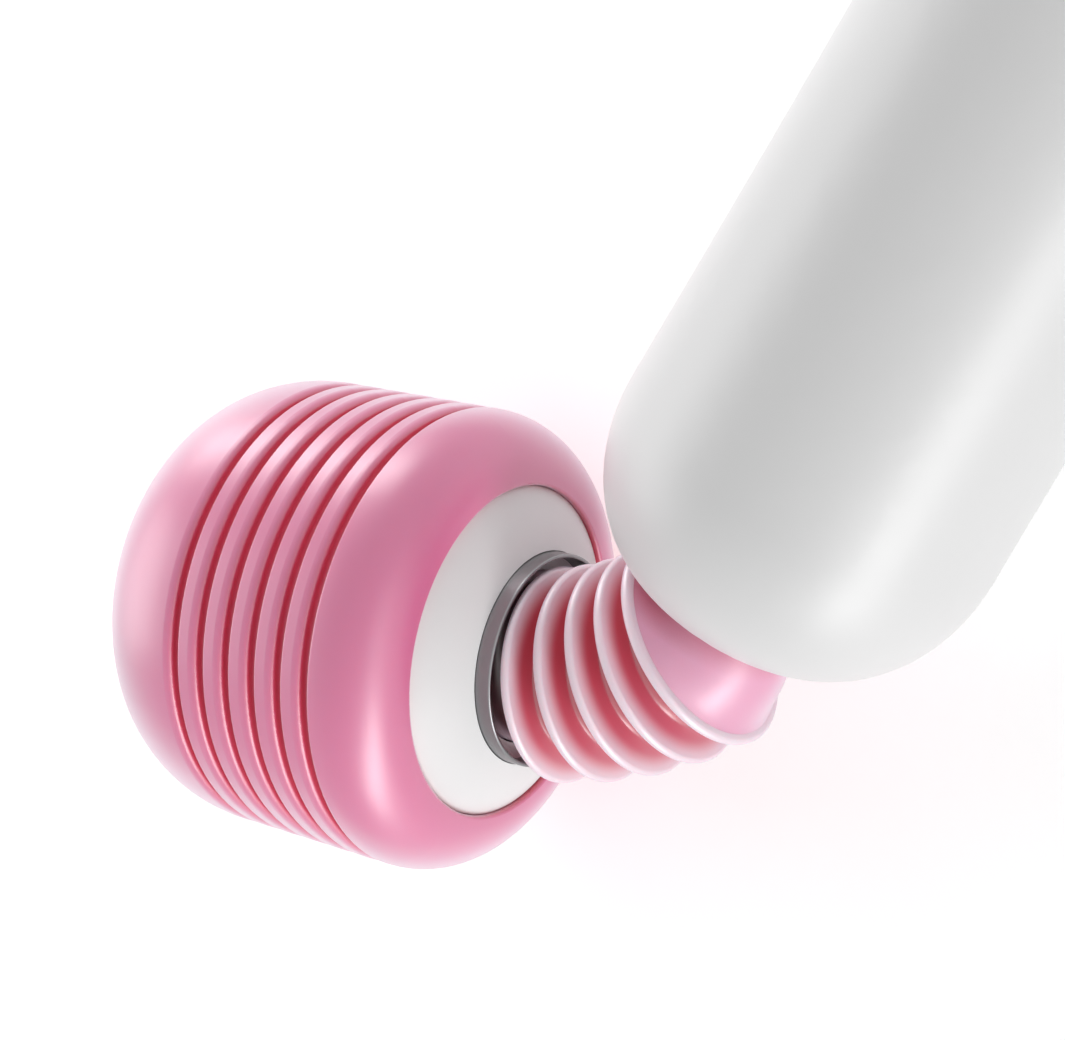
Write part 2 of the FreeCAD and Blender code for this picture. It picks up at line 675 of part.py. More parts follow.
def inner_chassis():
    """Trough that carries the cell and the board, with a wall at each end."""
    inside = CHASSIS_R - CHASSIS_WALL
    trough = rod(CHASSIS_R, CHASSIS_FRONT, CHASSIS_BACK)
    trough = trough.cut(rod(inside, CHASSIS_FRONT + CHASSIS_END, CHASSIS_BACK - CHASSIS_END))
    above = block((-HANDLE_R, HANDLE_R), (BOARD_UNDERSIDE, HANDLE_R), (0, HANDLE_LENGTH))
    trough = trough.cut(above)
    rim = rod(inside + CHASSIS_WALL / 2, CHASSIS_FRONT, CHASSIS_BACK)
    half = BOARD_LEDGE_LENGTH / 2
    for x, z in board_screw_places():
        near = abs(x) - BOARD_LEDGE
        span = (near, HANDLE_R) if x > 0 else (-HANDLE_R, -near)
        ledge = block(span, (BOARD_UNDERSIDE - BOARD_LEDGE, BOARD_UNDERSIDE), (z - half, z + half))
        trough = joined(trough, ledge.common(rim))
    holes = [upright(SCREW_R + SCREW_FIT, 0, HANDLE_R, x, z) for x, z in board_screw_places()]
    return trough.cut(holes)


def circuit_board():
    half = BOARD_WIDTH / 2
    board = block((-half, half), (BOARD_UNDERSIDE, BOARD_TOP), (BOARD_FRONT, BOARD_FRONT + BOARD_LENGTH))
    holes = [upright(SCREW_R + SCREW_FIT, 0, HANDLE_R, x, z) for x, z in board_screw_places()]
    return board.cut(holes)


def board_screws():
    one = screw(BOARD_THICKNESS + BOARD_LEDGE, V(0, -1, 0))
    return Part.makeCompound([moved(one, x, BOARD_TOP, z) for x, z in board_screw_places()])


def button_switches():
    half = SWITCH_SIDE / 2
    switches = []
    for z in BUTTON_PLACES:
        case = block((-half, half), (BOARD_TOP, BOARD_TOP + SWITCH_HEIGHT), (z - half, z + half))
        switches.append(joined(case, upright(PLUNGER_R, BOARD_TOP + SWITCH_HEIGHT, PLUNGER_TOP, 0.0, z)))
    return Part.makeCompound(switches)


def signal_light():
    return upright(LIGHT_R, BOARD_TOP, BOARD_TOP + SWITCH_HEIGHT, 0.0, LIGHT_FRONT)


def board_parts():
    """Wire socket on the board, with the coil and the charging chip on its underside."""
    half = SWITCH_SIDE / 2
    top = BOARD_TOP
    under = BOARD_UNDERSIDE
    z = BOARD_FRONT + half + PANEL_FIT
    socket = block((-half, half), (top, top + SWITCH_HEIGHT), (z - half, z + half))
    z = BOARD_FRONT + BOARD_LENGTH - half - PANEL_FIT
    chip = block((-half, half), (under - BOARD_THICKNESS, under), (z - half, z + half))
    coil = upright(half, under - SWITCH_HEIGHT, under, 0.0, BUTTON_PLACES[1])
    return Part.makeCompound([socket, chip, coil])


def battery_cell():
    return moved(rod(CELL_R, CELL_FRONT, CELL_BACK), 0, CELL_Y, 0)


def battery_tabs():
    half = SWITCH_SIDE / 2
    tall = (CELL_Y - half, CELL_Y + CELL_R)
    front = block((-half, half), tall, (CELL_FRONT - TAB_THICKNESS, CELL_FRONT))
    back = block((-half, half), tall, (CELL_BACK, CELL_BACK + TAB_THICKNESS))
    return Part.makeCompound([front, back])


def battery_pad():
    """Foam strip bent round the underside of the cell."""
    inner = CELL_R + PRESS_GAP
    outer = CELL_R + CELL_PAD - PRESS_GAP
    strip = tube(outer, inner, CELL_FRONT, CELL_BACK)
    strip = strip.cut(block((-HANDLE_R, HANDLE_R), (-CELL_R / 2, HANDLE_R), (0, HANDLE_LENGTH)))
    return moved(strip, 0, CELL_Y, 0)


def tail_outline():
    """Outer profile of the tail cap, from the shell's end to the middle of the tail face."""
    side_end = HANDLE_LENGTH - TAIL_ROUND_DEPTH
    face_r = TAIL_R - TAIL_ROUND_WIDTH
    turn = rounded((TAIL_R, side_end), (TAIL_R, HANDLE_LENGTH), (face_r, HANDLE_LENGTH))
    return [(TAIL_R, SHELL_END), turn, (0.0, HANDLE_LENGTH)]


def tail_cap():
    """Rounded end cap with a spigot that is grooved for the seal."""
    outer = turned((0.0, SHELL_END), *tail_outline())
    spigot_r = TAIL_INNER_R - PART_FIT
    spigot = rod(spigot_r, SHELL_END - TAIL_SPIGOT, SHELL_END)
    cap = joined(outer, spigot)
    inner_r = spigot_r - TAIL_SPIGOT_WALL
    turn_end = HANDLE_LENGTH - TAIL_CAP_WALL
    turn_start = HANDLE_LENGTH - TAIL_ROUND_DEPTH
    hollow = rod(inner_r, SHELL_END - TAIL_SPIGOT, turn_start)
    face_r = inner_r - TAIL_ROUND_WIDTH / 2
    turn = rounded((inner_r, turn_start), (inner_r, turn_end), (face_r, turn_end))
    dome = turned((0.0, turn_start), (inner_r, turn_start), turn, (0.0, turn_end))
    cap = cap.cut([hollow, dome, rod(JACK_BODY_R + PART_FIT, JACK_FRONT, HANDLE_LENGTH)])
    middle = SHELL_END - TAIL_SPIGOT / 2
    groove_floor = TAIL_INNER_R - 2 * SEAL_R
    half = SEAL_R + SEAL_SQUEEZE
    return cap.cut(tube(TAIL_R, groove_floor - SEAL_SQUEEZE / 2, middle - half, middle + half))


def tail_seal():
    major = TAIL_INNER_R - SEAL_R - SEAL_SQUEEZE / 4
    return Part.makeTorus(major, SEAL_R, V(0, 0, SHELL_END - TAIL_SPIGOT / 2))


def charging_socket():
    """Round socket for a thin pin plug, its bore open at the tail face."""
    wall_inside = HANDLE_LENGTH - TAIL_CAP_WALL
    body = rod(JACK_BODY_R, JACK_FRONT, HANDLE_LENGTH)
    flange = rod(JACK_FLANGE_R, wall_inside - JACK_FLANGE, wall_inside)
    return joined(body, flange).cut(rod(JACK_BORE_R, HANDLE_LENGTH - JACK_BORE_LENGTH, HANDLE_LENGTH))


# ---------------------------------------------------------------- assembly
def lowest(edges, placement):
    """Height of the lowest point of a solid of revolution, from its profile, once placed."""
    axis = placement.Rotation.multVec(V(0, 0, 1))
    lean = math.sqrt(1 - axis.z ** 2)
    low = None
    for edge in edges:
        for p in edge.discretize(60):
            height = placement.multVec(V(0, 0, p.z)).z - p.x * lean
            low = height if low is None else min(low, height)
    return low


def turn_at(z, degrees):
    """Placement that turns about the neck's bending axis, Y, through a pivot on the Z axis."""
    rotation = FreeCAD.Rotation(V(0, 1, 0), degrees)
    return FreeCAD.Placement(V(0, 0, 0), rotation, V(0, 0, z))


def shift(z):
    return FreeCAD.Placement(V(0, 0, z), FreeCAD.Rotation())


def handle_place(slope, roll):
    """Handle's frame: its Z along world X, sloping down to the tail, rolled about itself."""
    x = V(0, 1, 0)
    y = V(0, 0, 1)
    z = V(1, 0, 0)
    lying = FreeCAD.Rotation(x, y, z, "ZXY")
    tilt = FreeCAD.Rotation(V(0, 1, 0), slope)
    own = FreeCAD.Rotation(V(0, 0, 1), roll)
    return FreeCAD.Placement(V(0, 0, 0), tilt * lying * own)


def body_frames(handle):
    """Frame of every body, worked forwards from the handle's, and each neck pivot."""
    frames = {"handle": handle}
    pivots = []
    place = handle.multVec(V(0, 0, -HANDLE_PIVOT_REACH))
    pivots.append(("neck_bend", "handle", "rib_%d" % RIB_COUNT, place))
    here = handle * turn_at(-HANDLE_PIVOT_REACH, -HANDLE_BEND) * shift(-2 * HANDLE_PIVOT_REACH)
    for k in range(RIB_COUNT, 0, -1):
        frames["rib_%d" % k] = here
        if k > 1:
            child = "rib_%d" % (k - 1)
            place = here.multVec(V(0, 0, -RIB_PITCH / 2))
            pivots.append((child + "_bend", "rib_%d" % k, child, place))
            here = here * turn_at(-RIB_PITCH / 2, -RIB_BEND) * shift(-RIB_PITCH)
    pivots.append(("head_bend", "rib_1", "head", here.multVec(V(0, 0, HEAD_PIVOT_BEYOND_RIB))))
    nod = turn_at(HEAD_PIVOT_BEYOND_RIB, -HEAD_BEND)
    frames["head"] = here * nod * shift(HEAD_PIVOT_BEYOND_RIB - HEAD_PIVOT)
    return frames, pivots


def resting_handle():
    """Handle laid on its side, rolled until the head comes down on the same floor."""
    front = chain(*handle_outline())[1:]
    tail = chain((TAIL_R, SHELL_END), *tail_outline()[1:])[:2]
    head = chain(*head_outline())[1:-1]

    def rock(slope):
        place = handle_place(slope, 0.0)
        return lowest(front[:2], place) - lowest(tail, place)

    slope = solved(rock, *SLOPE_ANGLE_RANGE)

    def lean(roll):
        frames, _ = body_frames(handle_place(slope, roll))
        return lowest(head, frames["head"]) - lowest(tail, frames["handle"])

    roll = solved(lean, *ROLL_ANGLE_RANGE)
    place = handle_place(slope, roll)
    place.Base = V(0, 0, -lowest(tail, place))
    return place


def pieces():
    """Every node: its name, the body it belongs to and its solid in that body's own frame."""
    found = [
        ("head_sleeve", "head", head_sleeve()),
        ("head_cup", "head", head_cup()),
        ("head_collar", "head", head_collar()),
        ("neck_ring", "head", neck_ring()),
        ("neck_root", "head", neck_root()),
        ("head_core", "head", head_core()),
        ("motor_holder", "head", motor_holder()),
        ("motor_mounts", "head", motor_mounts()),
        ("motor_can", "head", motor_can()),
        ("motor_end_bell", "head", motor_end_bell()),
        ("motor_magnets", "head", motor_magnets()),
        ("front_bush", "head", front_bush()),
        ("rear_bush", "head", rear_bush()),
        ("motor_shaft", "rotor", motor_shaft()),
        ("motor_armature", "rotor", motor_armature()),
        ("commutator", "rotor", commutator()),
        ("eccentric_weight", "rotor", eccentric_weight()),
        ("handle_shell", "handle", handle_shell()),
        ("control_panel", "handle", control_panel()),
        ("light_pipe", "handle", light_pipe()),
        ("neck_anchor", "handle", neck_anchor()),
        ("anchor_plate", "handle", anchor_plate()),
        ("anchor_screws", "handle", anchor_screws()),
        ("handle_core", "handle", handle_core()),
        ("inner_chassis", "handle", inner_chassis()),
        ("circuit_board", "handle", circuit_board()),
        ("board_screws", "handle", board_screws()),
        ("board_parts", "handle", board_parts()),
        ("button_switches", "handle", button_switches()),
        ("signal_light", "handle", signal_light()),
        ("battery_cell", "handle", battery_cell()),
        ("battery_tabs", "handle", battery_tabs()),
        ("battery_pad", "handle", battery_pad()),
        ("tail_cap", "handle", tail_cap()),
        ("tail_seal", "handle", tail_seal()),
        ("charging_socket", "handle", charging_socket()),
    ]
    last = "rib_%d" % RIB_COUNT
    for k in range(1, RIB_COUNT + 1):
        body = "rib_%d" % k
        found.append(("neck_" + body, body, neck_rib(body == last)))
        found.append(("core_link_%d" % k, body, core_link(LAST_LINK_END if body == last else HALF_CORE)))
    found.append(("boot_end", last, boot_end()))
    for name, z in zip(("power_button", "faster_button", "slower_button"), BUTTON_PLACES):
        found.append((name, name, button_at(z)))
    return found


def assembly():
    """Placed solids by node name, with the bodies, frames and pivots they came from."""
    frames, pivots = body_frames(resting_handle())
    frames["rotor"] = frames["head"]
    for name in ("power_button", "faster_button", "slower_button"):
        frames[name] = frames["handle"]
    placed = {}
    bodies = {}
    for name, body, solid in pieces():
        placed[name] = solid.transformed(frames[body].toMatrix())
        bodies.setdefault(body, []).append(name)
    box = Part.makeCompound(list(placed.values())).optimalBoundingBox(False, False)
    centre = V((box.XMin + box.XMax) / 2, (box.YMin + box.YMax) / 2, 0)
    for solid in placed.values():
        solid.translate(centre * -1)
    back = FreeCAD.Placement(centre * -1, FreeCAD.Rotation())
    frames = {body: back * frame for body, frame in frames.items()}
    pivots = [(name, parent, child, place - centre) for name, parent, child, place in pivots]
    return placed, bodies, frames, pivots


def main():
    os.makedirs("parts", exist_ok=True)
    placed, bodies, _, _ = assembly()
    for name, solid in placed.items():
        solid.exportStep("parts/%s.step" % name)
    print("%d nodes in %d bodies" % (len(placed), len(bodies)))


if __name__ == "__main__":
    main()
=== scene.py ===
import bmesh
import bpy
import json
from mathutils import Matrix, Vector


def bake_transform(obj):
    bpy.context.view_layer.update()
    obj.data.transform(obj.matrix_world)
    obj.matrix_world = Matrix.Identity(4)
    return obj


# Looks of the wand massager: soft folds of the neck, finishes, floor, light and camera.

MM = 0.001

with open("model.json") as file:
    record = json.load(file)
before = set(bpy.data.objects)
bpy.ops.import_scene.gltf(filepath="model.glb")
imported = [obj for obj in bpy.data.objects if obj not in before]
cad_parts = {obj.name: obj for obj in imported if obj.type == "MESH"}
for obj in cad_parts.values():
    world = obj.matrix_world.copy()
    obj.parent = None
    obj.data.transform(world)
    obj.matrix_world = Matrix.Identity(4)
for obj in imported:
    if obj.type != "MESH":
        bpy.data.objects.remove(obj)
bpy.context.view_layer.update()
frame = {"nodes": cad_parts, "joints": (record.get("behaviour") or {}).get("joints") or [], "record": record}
nodes = frame["nodes"]


# ---- places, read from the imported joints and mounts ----
joints = {joint["name"]: joint for joint in frame["joints"]}
pivot = {name: Vector(joint["pos_m"]) for name, joint in joints.items() if "pos_m" in joint}
mounts = {mount["name"]: mount for mount in frame["record"]["mounts"]}
bend_axis = Vector(joints["neck_bend"]["axis"]).normalized()
handle_way = Vector(mounts["charge_socket"]["axis"]).normalized()
head_way = -Vector(mounts["head_face"]["axis"]).normalized()
head_face = Vector(mounts["head_face"]["pos_m"])

# The way each rib faces, from the head towards the handle. Rib 1 is at the head and rib 5 at the handle.
RIBS = (1, 2, 3, 4, 5)
LAST_RIB = 5
way = {
    5: (pivot["neck_bend"] - pivot["rib_4_bend"]).normalized(),
    4: (pivot["rib_4_bend"] - pivot["rib_3_bend"]).normalized(),
    3: (pivot["rib_3_bend"] - pivot["rib_2_bend"]).normalized(),
    2: (pivot["rib_2_bend"] - pivot["rib_1_bend"]).normalized(),
    1: (pivot["head_bend"] - pivot["rib_1_bend"]).normalized(),
}


def standing(centre, axis):
    """Matrix whose Z is the axis given and whose Y is the neck's bending axis."""
    across = bend_axis.cross(axis).normalized()
    turn = Matrix((across, axis.cross(across), axis)).transposed()
    return Matrix.Translation(centre) @ turn.to_4x4()


# ---- mesh helpers ----
def made_mesh(name, bm):
    """Object from a bmesh, with its faces turned outwards and shaded smooth."""
    bmesh.ops.recalc_face_normals(bm, faces=bm.faces)
    for face in bm.faces:
        face.smooth = True
    mesh = bpy.data.meshes.new(name)
    bm.to_mesh(mesh)
    bm.free()
    piece = bpy.data.objects.new(name, mesh)
    bpy.context.scene.collection.objects.link(piece)
    return piece


RING_CORNERS = 160  # enough for an outline that looks round


def loft(name, rings):
    """Open tube through circles, each given as a matrix and a radius."""
    bm = bmesh.new()
    loops = []
    for place, radius in rings:
        ring = bmesh.ops.create_circle(bm, segments=RING_CORNERS, radius=radius, matrix=place)
        edges = {painted_rim_light_mask for vert in ring["verts"] for painted_rim_light_mask in vert.link_edges}
        loops.append(list(edges))
    for near, far in zip(loops, loops[1:]):
        bmesh.ops.bridge_loops(bm, edges=near + far)
    return made_mesh(name, bm)


def eased(share):
    """Share of the way that starts and ends gently."""
    return share * share * (3 - 2 * share)


def bent_rings(centre, near_way, far_way, stations):
    """Circles about a pivot, turned bit by bit from one axis to the other."""
    whole = near_way.angle(far_way)
    sense = 1 if near_way.cross(far_way).dot(bend_axis) > 0 else -1
    low = stations[0][0]
    high = stations[-1][0]
    rings = []
    for height, radius in stations:
        turn = Matrix.Rotation(sense * whole * eased((height - low) / (high - low)), 3, bend_axis)
        axis = turn @ near_way
        rings.append((standing(centre + axis * height, axis), radius))
    return rings


# ---- folds of the neck's boot ----
RIB_HALF_PITCH = 2.6 * MM
LAST_RIB_REACH = 3.35 * MM  # from the last rib's middle to the neck_bend pivot

FOLD_R = 9.55 * MM
FOLD_END_R = 10.2 * MM
FOLD_HALF = 1.35 * MM
FOLD_STEPS = 8
FOLD_FLARE = 4  # the higher, the later the fold widens towards the ribs


def fold_between(k):
    """Soft floor of the groove between rib k + 1 and rib k, which bends at their pivot."""
    centre = pivot["rib_%d_bend" % k]
    stations = []
    for i in range(FOLD_STEPS + 1):
        share = 2 * i / FOLD_STEPS - 1
        radius = FOLD_R + (FOLD_END_R - FOLD_R) * share ** FOLD_FLARE
        stations.append((share * FOLD_HALF, radius))
    rings = bent_rings(centre, way[k], way[k + 1], stations)
    fold = loft("neck_fold_%d" % k, rings)
    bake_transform(fold)
    return fold


ROOT_TOP = 52.6 * MM  # from the middle of the head's face
ROOT_R = 10.85 * MM
ROOT_STEPS = 6
ROOT_FOLD_REACH = 0.8  # share of a fold's half length that it reaches out from the first rib
ROOT_FOLD_RISE = 0.2 * MM  # how much wider than the other folds it ends


def root_fold():
    """Soft ring between the neck's root on the head and the first rib."""
    rib_centre = pivot["rib_1_bend"] - way[1] * RIB_HALF_PITCH
    low = (head_face + head_way * ROOT_TOP, head_way)
    high = (rib_centre - way[1] * FOLD_HALF * ROOT_FOLD_REACH, way[1])
    rings = []
    for i in range(ROOT_STEPS + 1):
        share = i / ROOT_STEPS
        centre = low[0].lerp(high[0], share)
        axis = low[1].lerp(high[1], share).normalized()
        radius = ROOT_R + (FOLD_R + ROOT_FOLD_RISE - ROOT_R) * eased(share)
        rings.append((standing(centre, axis), radius))
    fold = loft("neck_root_fold", rings)
    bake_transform(fold)
    return fold


SKIRT_RIM_R = 12.55 * MM
SKIRT_MOUTH_R = 8.15 * MM
SKIRT_START = 0.62 * MM  # from the last rib's middle
SKIRT_END = 3.6 * MM  # past the neck_bend pivot, inside the handle's mouth
SKIRT_STEPS = 14
SKIRT_CURVE = 1.5  # 1 is a plain cone, and more draws it in sooner


def boot_skirt():
    """Smooth end of the boot, from the back of the last rib into the handle's mouth."""
    centre = pivot["neck_bend"]
    stations = []
    for i in range(SKIRT_STEPS + 1):
        share = i / SKIRT_STEPS
        height = (SKIRT_START - LAST_RIB_REACH) * (1 - share) + SKIRT_END * share
        radius = SKIRT_MOUTH_R + (SKIRT_RIM_R - SKIRT_MOUTH_R) * (1 - share) ** SKIRT_CURVE
        stations.append((height, radius))
    rings = bent_rings(centre, way[LAST_RIB], handle_way, stations)
    skirt = loft("boot_skirt", rings)
    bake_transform(skirt)
    return skirt


folds = [fold_between(k) for k in RIBS[:-1]]
root = root_fold()
skirt = boot_skirt()


# ---- finishes ----
def linear(code):
    """Linear colour from an sRGB hex code."""
    parts = [int(code[i:i + 2], 16) / 255 for i in (0, 2, 4)]
    return [c / 12.92 if c <= 0.04045 else ((c + 0.055) / 1.055) ** 2.4 for c in parts] + [1.0]


def add(tree, kind, inputs=None, **settings):
    """Adds a node, sets its properties, and fills its inputs with values or links."""
    node = tree.nodes.new(kind)
    for name, value in settings.items():
        setattr(node, name, value)
    for key, value in (inputs or {}).items():
        if isinstance(value, bpy.types.NodeSocket):
            tree.links.new(value, node.inputs[key])
        else:
            node.inputs[key].default_value = value
    return node


def blank(name):
    """New material with no nodes yet, and its node tree."""
    material = bpy.data.materials.new(name)
    material.use_nodes = True
    material.node_tree.nodes.clear()
    return material, material.node_tree


def per_mm(size):
    """Texture scale whose features are about this many millimetres across."""
    return 1 / (size * MM)


# Places of the colour sockets on a Mix node, whose names are shared with its sockets for numbers.
MIX_LOW = 6
MIX_HIGH = 7
MIX_OUT = 2


def off_axis(tree, coord, centre, axis):
    """Distance of the shaded place from an axis through the centre."""
    arm = add(tree, "ShaderNodeVectorMath", {0: coord, 1: centre}, operation="SUBTRACT")
    turned = add(tree, "ShaderNodeVectorMath", {0: arm.outputs[0], 1: axis}, operation="CROSS_PRODUCT")
    return add(tree, "ShaderNodeVectorMath", {0: turned.outputs[0]}, operation="LENGTH").outputs["Value"]


# Painted shade: a hollow this wide and this closed in is painted in the deep, shaded colour, and one that is
# fully open isn't.
PAINTED_SHADE_REACH = 4.0 * MM
PAINTED_SHADE_FULL_AO = 0.3
PAINTED_SHADE_NONE_AO = 1.0

# A painted pale sheen comes up as a surface turns away from the eye, from the share of turn where it starts
# to the one where it is full.
PAINTED_SHEEN = 0.75
PAINTED_SHEEN_STARTS = 0.3
PAINTED_SHEEN_FULL = 0.75
PAINTED_SHEEN_COLOUR = "f6d8ea"
PAINTED_SHEEN_BLEND = 0.35

# The tool's blasted texture is finer than this. It is drawn as coarse as it needs to show.
SILICONE_GRAIN_MM = 0.35
SILICONE_CLOUD_MM = 14
SILICONE_CLOUD_LIGHT = 1.05
GRAIN_HEIGHT = 0.05 * MM


def silicone(name, colour, shade_colour, sheen=0.3, painted_rim_light=None):
    """Liquid silicone rubber, moulded and left satin: painted shade makes it redder in the hollows, and a
    painted sheen pales its edges.

    The rim light argument is (colour, centre, axis, inner, outer): painted light that makes a thin disc's
    edge paler, as if more light came through it.
    """
    material, tree = blank(name)
    coord = add(tree, "ShaderNodeTexCoord").outputs["Object"]
    # Painted shade: where ambient occlusion finds a hollow, the colour goes towards the shade colour.
    shade_ao = add(tree, "ShaderNodeAmbientOcclusion", {"Distance": PAINTED_SHADE_REACH}, samples=8)
    depth = add(tree, "ShaderNodeMapRange", {
        "Value": shade_ao.outputs["AO"],
        "From Min": PAINTED_SHADE_FULL_AO,
        "From Max": PAINTED_SHADE_NONE_AO,
    })
    body = add(tree, "ShaderNodeMix", {
        "Factor": depth.outputs[0],
        MIX_LOW: linear(shade_colour),
        MIX_HIGH: linear(colour),
    }, data_type="RGBA").outputs[MIX_OUT]
    if painted_rim_light:
        pale, centre, axis, inner, outer = painted_rim_light
        # Painted rim light: paler towards the disc's outer edge.
        painted_rim_light_mask = add(tree, "ShaderNodeMapRange", {
            "Value": off_axis(tree, coord, centre, axis),
            "From Min": inner,
            "From Max": outer,
        }, interpolation_type="SMOOTHSTEP")
        body = add(tree, "ShaderNodeMix", {
            "Factor": painted_rim_light_mask.outputs[0],
            MIX_LOW: body,
            MIX_HIGH: linear(pale),
        }, data_type="RGBA").outputs[MIX_OUT]
    # Painted sheen: the colour goes pale as the surface turns away from the eye.
    painted_sheen = add(tree, "ShaderNodeMapRange", {
        "Value": add(tree, "ShaderNodeLayerWeight", {"Blend": PAINTED_SHEEN_BLEND}).outputs["Facing"],
        "From Min": PAINTED_SHEEN_STARTS,
        "From Max": PAINTED_SHEEN_FULL,
        "To Max": PAINTED_SHEEN,
    }, interpolation_type="SMOOTHSTEP")
    body = add(tree, "ShaderNodeMix", {
        "Factor": painted_sheen.outputs[0],
        MIX_LOW: body,
        MIX_HIGH: linear(PAINTED_SHEEN_COLOUR),
    }, data_type="RGBA").outputs[MIX_OUT]
    cloud = add(tree, "ShaderNodeTexNoise", {
        "Vector": coord,
        "Scale": per_mm(SILICONE_CLOUD_MM),
        "Detail": 2.0,
    })
    lighter = add(tree, "ShaderNodeHueSaturation", {"Value": SILICONE_CLOUD_LIGHT, "Color": body})
    grain = add(tree, "ShaderNodeTexNoise", {
        "Vector": coord,
        "Scale": per_mm(SILICONE_GRAIN_MM),
        "Detail": 3.0,
    })
    bump = add(tree, "ShaderNodeBump", {
        "Strength": 0.08,
        "Distance": GRAIN_HEIGHT,
        "Height": grain.outputs["Fac"],
    })
    clouded = add(tree, "ShaderNodeMix", {
        "Factor": cloud.outputs["Fac"],
        MIX_LOW: body,
        MIX_HIGH: lighter.outputs[0],
    }, data_type="RGBA")
    shader = add(tree, "ShaderNodeBsdfPrincipled", {
        "Base Color": clouded.outputs[MIX_OUT],
        "Roughness": 0.45,
        "IOR": 1.41,
        "Subsurface Weight": 0.35,
        "Subsurface Radius": (1.0, 0.35, 0.4),
        "Subsurface Scale": 1.2 * MM,
        "Sheen Weight": sheen,
        "Sheen Roughness": 0.45,
        "Sheen Tint": linear("ffe6f8"),
        "Coat Weight": 1.0,
        "Coat Roughness": 0.38,
        "Coat IOR": 2.0,
        "Normal": bump.outputs[0],
    })
    add(tree, "ShaderNodeOutputMaterial", {"Surface": shader.outputs[0]})
    return material


HARD_CLOUD_MM = 9
HARD_ROUGH_SPREAD = 0.1  # how far the roughness strays to either side


def moulded(name, colour, roughness, grain_mm=0.3, depth=0.1, coat=0.0, mottle=0.04, metallic=0.0):
    """Hard stuff of one colour, with its fine grain and a little unevenness in colour and gloss."""
    material, tree = blank(name)
    coord = add(tree, "ShaderNodeTexCoord").outputs["Object"]
    cloud = add(tree, "ShaderNodeTexNoise", {
        "Vector": coord,
        "Scale": per_mm(HARD_CLOUD_MM),
        "Detail": 3.0,
    })
    darker = add(tree, "ShaderNodeHueSaturation", {"Value": 1 - mottle, "Color": linear(colour)})
    rough = add(tree, "ShaderNodeMapRange", {
        "Value": cloud.outputs["Fac"],
        "To Min": roughness * (1 - HARD_ROUGH_SPREAD),
        "To Max": roughness * (1 + HARD_ROUGH_SPREAD),
    })
    grain = add(tree, "ShaderNodeTexNoise", {
        "Vector": coord,
        "Scale": per_mm(grain_mm),
        "Detail": 2.0,
    })
    bump = add(tree, "ShaderNodeBump", {
        "Strength": depth,
        "Distance": GRAIN_HEIGHT,
        "Height": grain.outputs["Fac"],
    })
    clouded = add(tree, "ShaderNodeMix", {
        "Factor": cloud.outputs["Fac"],
        MIX_LOW: darker.outputs[0],
        MIX_HIGH: linear(colour),
    }, data_type="RGBA")
    shader = add(tree, "ShaderNodeBsdfPrincipled", {
        "Base Color": clouded.outputs[MIX_OUT],
        "Roughness": rough.outputs[0],
        "Metallic": metallic,
        "IOR": 1.5,
        "Coat Weight": coat,
        "Coat Roughness": 0.4,
        "Normal": bump.outputs[0],
    })
    add(tree, "ShaderNodeOutputMaterial", {"Surface": shader.outputs[0]})
    return material


# The painted rim light on a rib's thin edge is palest at the outer radius, and inside the inner one the rib
# has its body's colour.
PAINTED_RIM_LIGHT_INNER = 10.8 * MM
PAINTED_RIM_LIGHT_OUTER = 13.1 * MM


def rib_silicone(k):
    """Finish of one rib, with painted light that makes its thin edge paler than its root. The last rib is
    painted paler, as if lit, and runs into the skirt.
    """
    rib = nodes["neck_rib_%d" % k]
    home = rib.matrix_world.inverted()
    reach = LAST_RIB_REACH if k == LAST_RIB else RIB_HALF_PITCH
    pivot_name = "neck_bend" if k == LAST_RIB else "rib_%d_bend" % k
    centre = home @ (pivot[pivot_name] - way[k] * reach)
    axis = (home.to_3x3() @ way[k]).normalized()
    # The last rib is painted paler, as if lit, to run into the skirt: painted light.
    body = "eda2c4" if k == LAST_RIB else "dc5c78"
    # Painted rim light: the near-white colour at the rib's edge.
    painted_rim_light = ("fbe3ee", centre, axis, PAINTED_RIM_LIGHT_INNER, PAINTED_RIM_LIGHT_OUTER)
    return silicone("rib_%d_silicone" % k, body, "cc3c50", painted_rim_light=painted_rim_light)


# Silicone scatters light a little way in. Its painted shade goes red where it is closed in.
pink = silicone("pink_liquid_silicone", "e06a9c", "d83254")
# The skirt is painted in a paler copy of the pink, as if lit by light coming through its thin sheet: painted
# light.
painted_lit_pink = silicone("skirt_silicone_painted_lit", "eda2c4", "c8506e")
# The folds lie deep between the ribs, so they are painted in a darker, redder copy of the pink: painted
# shade.
painted_shade_fold_pink = silicone("fold_silicone_painted_shade", "d44a60", "a0283a", sheen=0.2)
